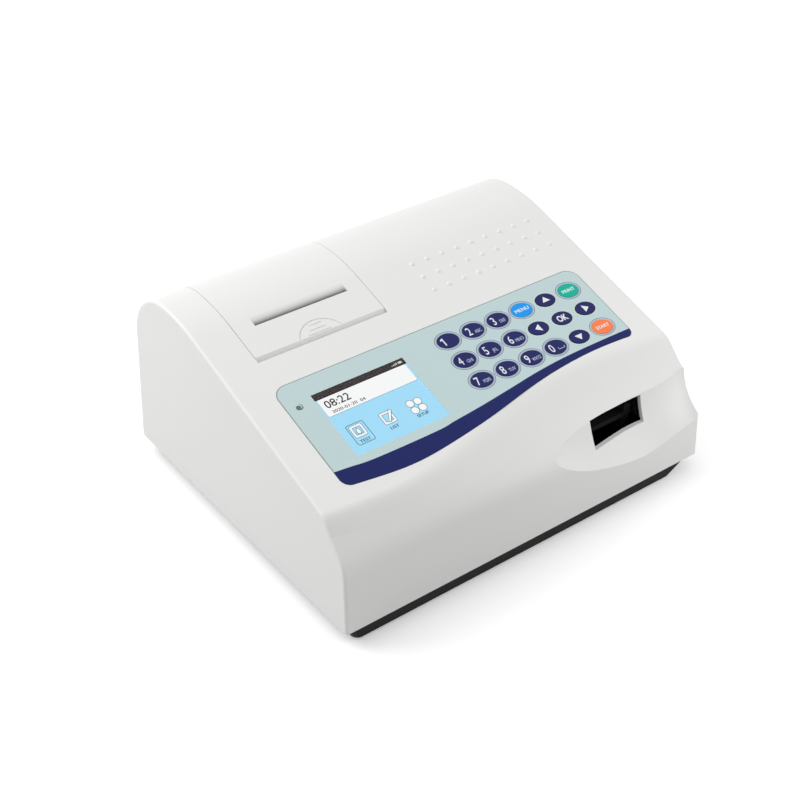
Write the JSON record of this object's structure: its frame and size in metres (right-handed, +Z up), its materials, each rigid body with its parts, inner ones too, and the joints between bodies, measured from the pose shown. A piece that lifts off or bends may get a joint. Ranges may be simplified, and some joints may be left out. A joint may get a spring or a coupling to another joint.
{
  "type": "urine analyzer",
  "caption": "Bench urine analyzer with sloping keypad and screen, hinged printer cover with paper slot, and a strip tray that slides out of a scooped front slot.",
  "frame": {"origin": "on the table, below the centre of the whole object", "axes": "+X to the right seen from the front, +Y to the rear, +Z up"},
  "size_m": [0.291, 0.254, 0.138],
  "materials": {
    "housing_plastic": "fine matte",
    "base_plastic": "fine texture",
    "overlay_film": "satin printed film",
    "window_pane": "clear",
    "screen_face": "lit screen",
    "lamp_lens": "translucent",
    "mat_rubber": "matte",
    "circuit_board": "solder mask",
    "socket_plastic": "fine matte",
    "port_steel": "plated",
    "tray_plastic": "fine matte",
    "holder_plastic": "fine matte",
    "white_ceramic": "matte white",
    "inner_plastic": "fine matte",
    "motor_steel": "drawn can",
    "gear_plastic": "natural acetal",
    "cradle_plastic": "fine matte",
    "thermal_paper": "smooth",
    "frame_steel": "zinc plated",
    "head_aluminium": "anodised",
    "platen_rubber": "smooth",
    "pinion_brass": "machined",
    "pin_steel": "plated",
    "foot_rubber": "matte",
    "key_navy": "satin",
    "key_blue": "satin",
    "key_teal": "satin",
    "key_orange": "satin"
  },
  "bodies": {
    "instrument": {"ac_inlet": "socket_plastic", "base_pan": "base_plastic", "base_screws": "pin_steel", "board_screws": "pin_steel", "cover_hinge_pins": "pin_steel", "cradle_screws": "pin_steel", "cradle_standoffs": "pin_steel", "display_window": "window_pane", "front_overlay": "overlay_film", "keypad_circuit": "mat_rubber", "lcd_module": "screen_face", "main_board": "circuit_board", "optical_head": "inner_plastic", "paper_cradle": "cradle_plastic", "paper_spindle": "cradle_plastic", "power_lamp": "lamp_lens", "power_supply": "circuit_board", "print_head": "head_aluminium", "printer_frame": "frame_steel", "printer_motor": "motor_steel", "read_window": "window_pane", "rubber_feet": "foot_rubber", "serial_port": "port_steel", "switch_body": "socket_plastic", "tray_guide": "inner_plastic", "tray_motor": "motor_steel", "upper_housing": "housing_plastic", "usb_port": "port_steel"},
    "cover": {"printer_cover": "housing_plastic"},
    "tray": {"strip_tray": "tray_plastic", "strip_holder": "holder_plastic", "reference_pad": "white_ceramic"},
    "tray_pinion": {"drive_pinion": "gear_plastic"},
    "platen": {"platen_roller": "platen_rubber", "platen_gear": "gear_plastic"},
    "printer_drive": {"printer_pinion": "pinion_brass"},
    "paper": {"paper_roll": "thermal_paper"},
    "switch": {"power_switch": "socket_plastic"},
    "key_0": {"key_0": "key_navy"},
    "key_1": {"key_1": "key_navy"},
    "key_2": {"key_2": "key_navy"},
    "key_3": {"key_3": "key_navy"},
    "key_4": {"key_4": "key_navy"},
    "key_5": {"key_5": "key_navy"},
    "key_6": {"key_6": "key_navy"},
    "key_7": {"key_7": "key_navy"},
    "key_8": {"key_8": "key_navy"},
    "key_9": {"key_9": "key_navy"},
    "key_menu": {"key_menu": "key_blue"},
    "key_print": {"key_print": "key_teal"},
    "key_start": {"key_start": "key_orange"},
    "key_ok": {"key_ok": "key_navy"},
    "key_up": {"key_up": "key_navy"},
    "key_down": {"key_down": "key_navy"},
    "key_left": {"key_left": "key_navy"},
    "key_right": {"key_right": "key_navy"}
  },
  "joints": [
    {"name": "cover_hinge", "type": "hinge", "parent": "instrument", "child": "cover", "pos_m": [-0.06625, 0.09751, 0.12833], "axis": [-1, 0, 0], "range_deg": [0, 55]},
    {"name": "tray_slide", "type": "slide", "parent": "instrument", "child": "tray", "axis": [0, -1, 0], "range_m": [0, 0.09]},
    {"name": "pinion_spin", "type": "hinge", "parent": "instrument", "child": "tray_pinion", "pos_m": [0.1027, -0.065, 0.057], "axis": [0, 0, 1], "range_deg": [-1, 646]},
    {"name": "platen_spin", "type": "hinge", "parent": "instrument", "child": "platen", "pos_m": [-0.067, 0.036, 0.1155], "axis": [1, 0, 0], "continuous": true},
    {"name": "printer_pinion_spin", "type": "hinge", "parent": "instrument", "child": "printer_drive", "pos_m": [-0.107, 0.01927, 0.1125], "axis": [1, 0, 0], "continuous": true},
    {"name": "paper_roll_spin", "type": "hinge", "parent": "instrument", "child": "paper", "pos_m": [-0.067, 0.066, 0.1015], "axis": [1, 0, 0], "continuous": true},
    {"name": "power_rocker", "type": "hinge", "parent": "instrument", "child": "switch", "pos_m": [-0.0495, 0.12132, 0.04146], "axis": [1, 0, 0], "range_deg": [-7, 7]},
    {"name": "key_0_press", "type": "slide", "parent": "instrument", "child": "key_0", "axis": [0, 0.3116, -0.9502], "range_m": [0, 0.00045], "stiffness_N_per_m": 300, "springref_m": -0.0005},
    {"name": "key_1_press", "type": "slide", "parent": "instrument", "child": "key_1", "axis": [0, 0.3116, -0.9502], "range_m": [0, 0.00045], "stiffness_N_per_m": 300, "springref_m": -0.0005},
    {"name": "key_2_press", "type": "slide", "parent": "instrument", "child": "key_2", "axis": [0, 0.3116, -0.9502], "range_m": [0, 0.00045], "stiffness_N_per_m": 300, "springref_m": -0.0005},
    {"name": "key_3_press", "type": "slide", "parent": "instrument", "child": "key_3", "axis": [0, 0.3116, -0.9502], "range_m": [0, 0.00045], "stiffness_N_per_m": 300, "springref_m": -0.0005},
    {"name": "key_4_press", "type": "slide", "parent": "instrument", "child": "key_4", "axis": [0, 0.3116, -0.9502], "range_m": [0, 0.00045], "stiffness_N_per_m": 300, "springref_m": -0.0005},
    {"name": "key_5_press", "type": "slide", "parent": "instrument", "child": "key_5", "axis": [0, 0.3116, -0.9502], "range_m": [0, 0.00045], "stiffness_N_per_m": 300, "springref_m": -0.0005},
    {"name": "key_6_press", "type": "slide", "parent": "instrument", "child": "key_6", "axis": [0, 0.3116, -0.9502], "range_m": [0, 0.00045], "stiffness_N_per_m": 300, "springref_m": -0.0005},
    {"name": "key_7_press", "type": "slide", "parent": "instrument", "child": "key_7", "axis": [0, 0.3116, -0.9502], "range_m": [0, 0.00045], "stiffness_N_per_m": 300, "springref_m": -0.0005},
    {"name": "key_8_press", "type": "slide", "parent": "instrument", "child": "key_8", "axis": [0, 0.3116, -0.9502], "range_m": [0, 0.00045], "stiffness_N_per_m": 300, "springref_m": -0.0005},
    {"name": "key_9_press", "type": "slide", "parent": "instrument", "child": "key_9", "axis": [0, 0.3116, -0.9502], "range_m": [0, 0.00045], "stiffness_N_per_m": 300, "springref_m": -0.0005},
    {"name": "key_menu_press", "type": "slide", "parent": "instrument", "child": "key_menu", "axis": [0, 0.3116, -0.9502], "range_m": [0, 0.00045], "stiffness_N_per_m": 300, "springref_m": -0.0005},
    {"name": "key_print_press", "type": "slide", "parent": "instrument", "child": "key_print", "axis": [0, 0.3116, -0.9502], "range_m": [0, 0.00045], "stiffness_N_per_m": 300, "springref_m": -0.0005},
    {"name": "key_start_press", "type": "slide", "parent": "instrument", "child": "key_start", "axis": [0, 0.3116, -0.9502], "range_m": [0, 0.00045], "stiffness_N_per_m": 300, "springref_m": -0.0005},
    {"name": "key_ok_press", "type": "slide", "parent": "instrument", "child": "key_ok", "axis": [0, 0.3116, -0.9502], "range_m": [0, 0.00045], "stiffness_N_per_m": 300, "springref_m": -0.0005},
    {"name": "key_up_press", "type": "slide", "parent": "instrument", "child": "key_up", "axis": [0, 0.3116, -0.9502], "range_m": [0, 0.00045], "stiffness_N_per_m": 300, "springref_m": -0.0005},
    {"name": "key_down_press", "type": "slide", "parent": "instrument", "child": "key_down", "axis": [0, 0.3116, -0.9502], "range_m": [0, 0.00045], "stiffness_N_per_m": 300, "springref_m": -0.0005},
    {"name": "key_left_press", "type": "slide", "parent": "instrument", "child": "key_left", "axis": [0, 0.3116, -0.9502], "range_m": [0, 0.00045], "stiffness_N_per_m": 300, "springref_m": -0.0005},
    {"name": "key_right_press", "type": "slide", "parent": "instrument", "child": "key_right", "axis": [0, 0.3116, -0.9502], "range_m": [0, 0.00045], "stiffness_N_per_m": 300, "springref_m": -0.0005}
  ],
  "couplings": [
    {"joint": "pinion_spin", "follows": "tray_slide", "rad_per_m": 125},
    {"joint": "printer_pinion_spin", "follows": "platen_spin", "ratio": -1.4286}
  ]
}
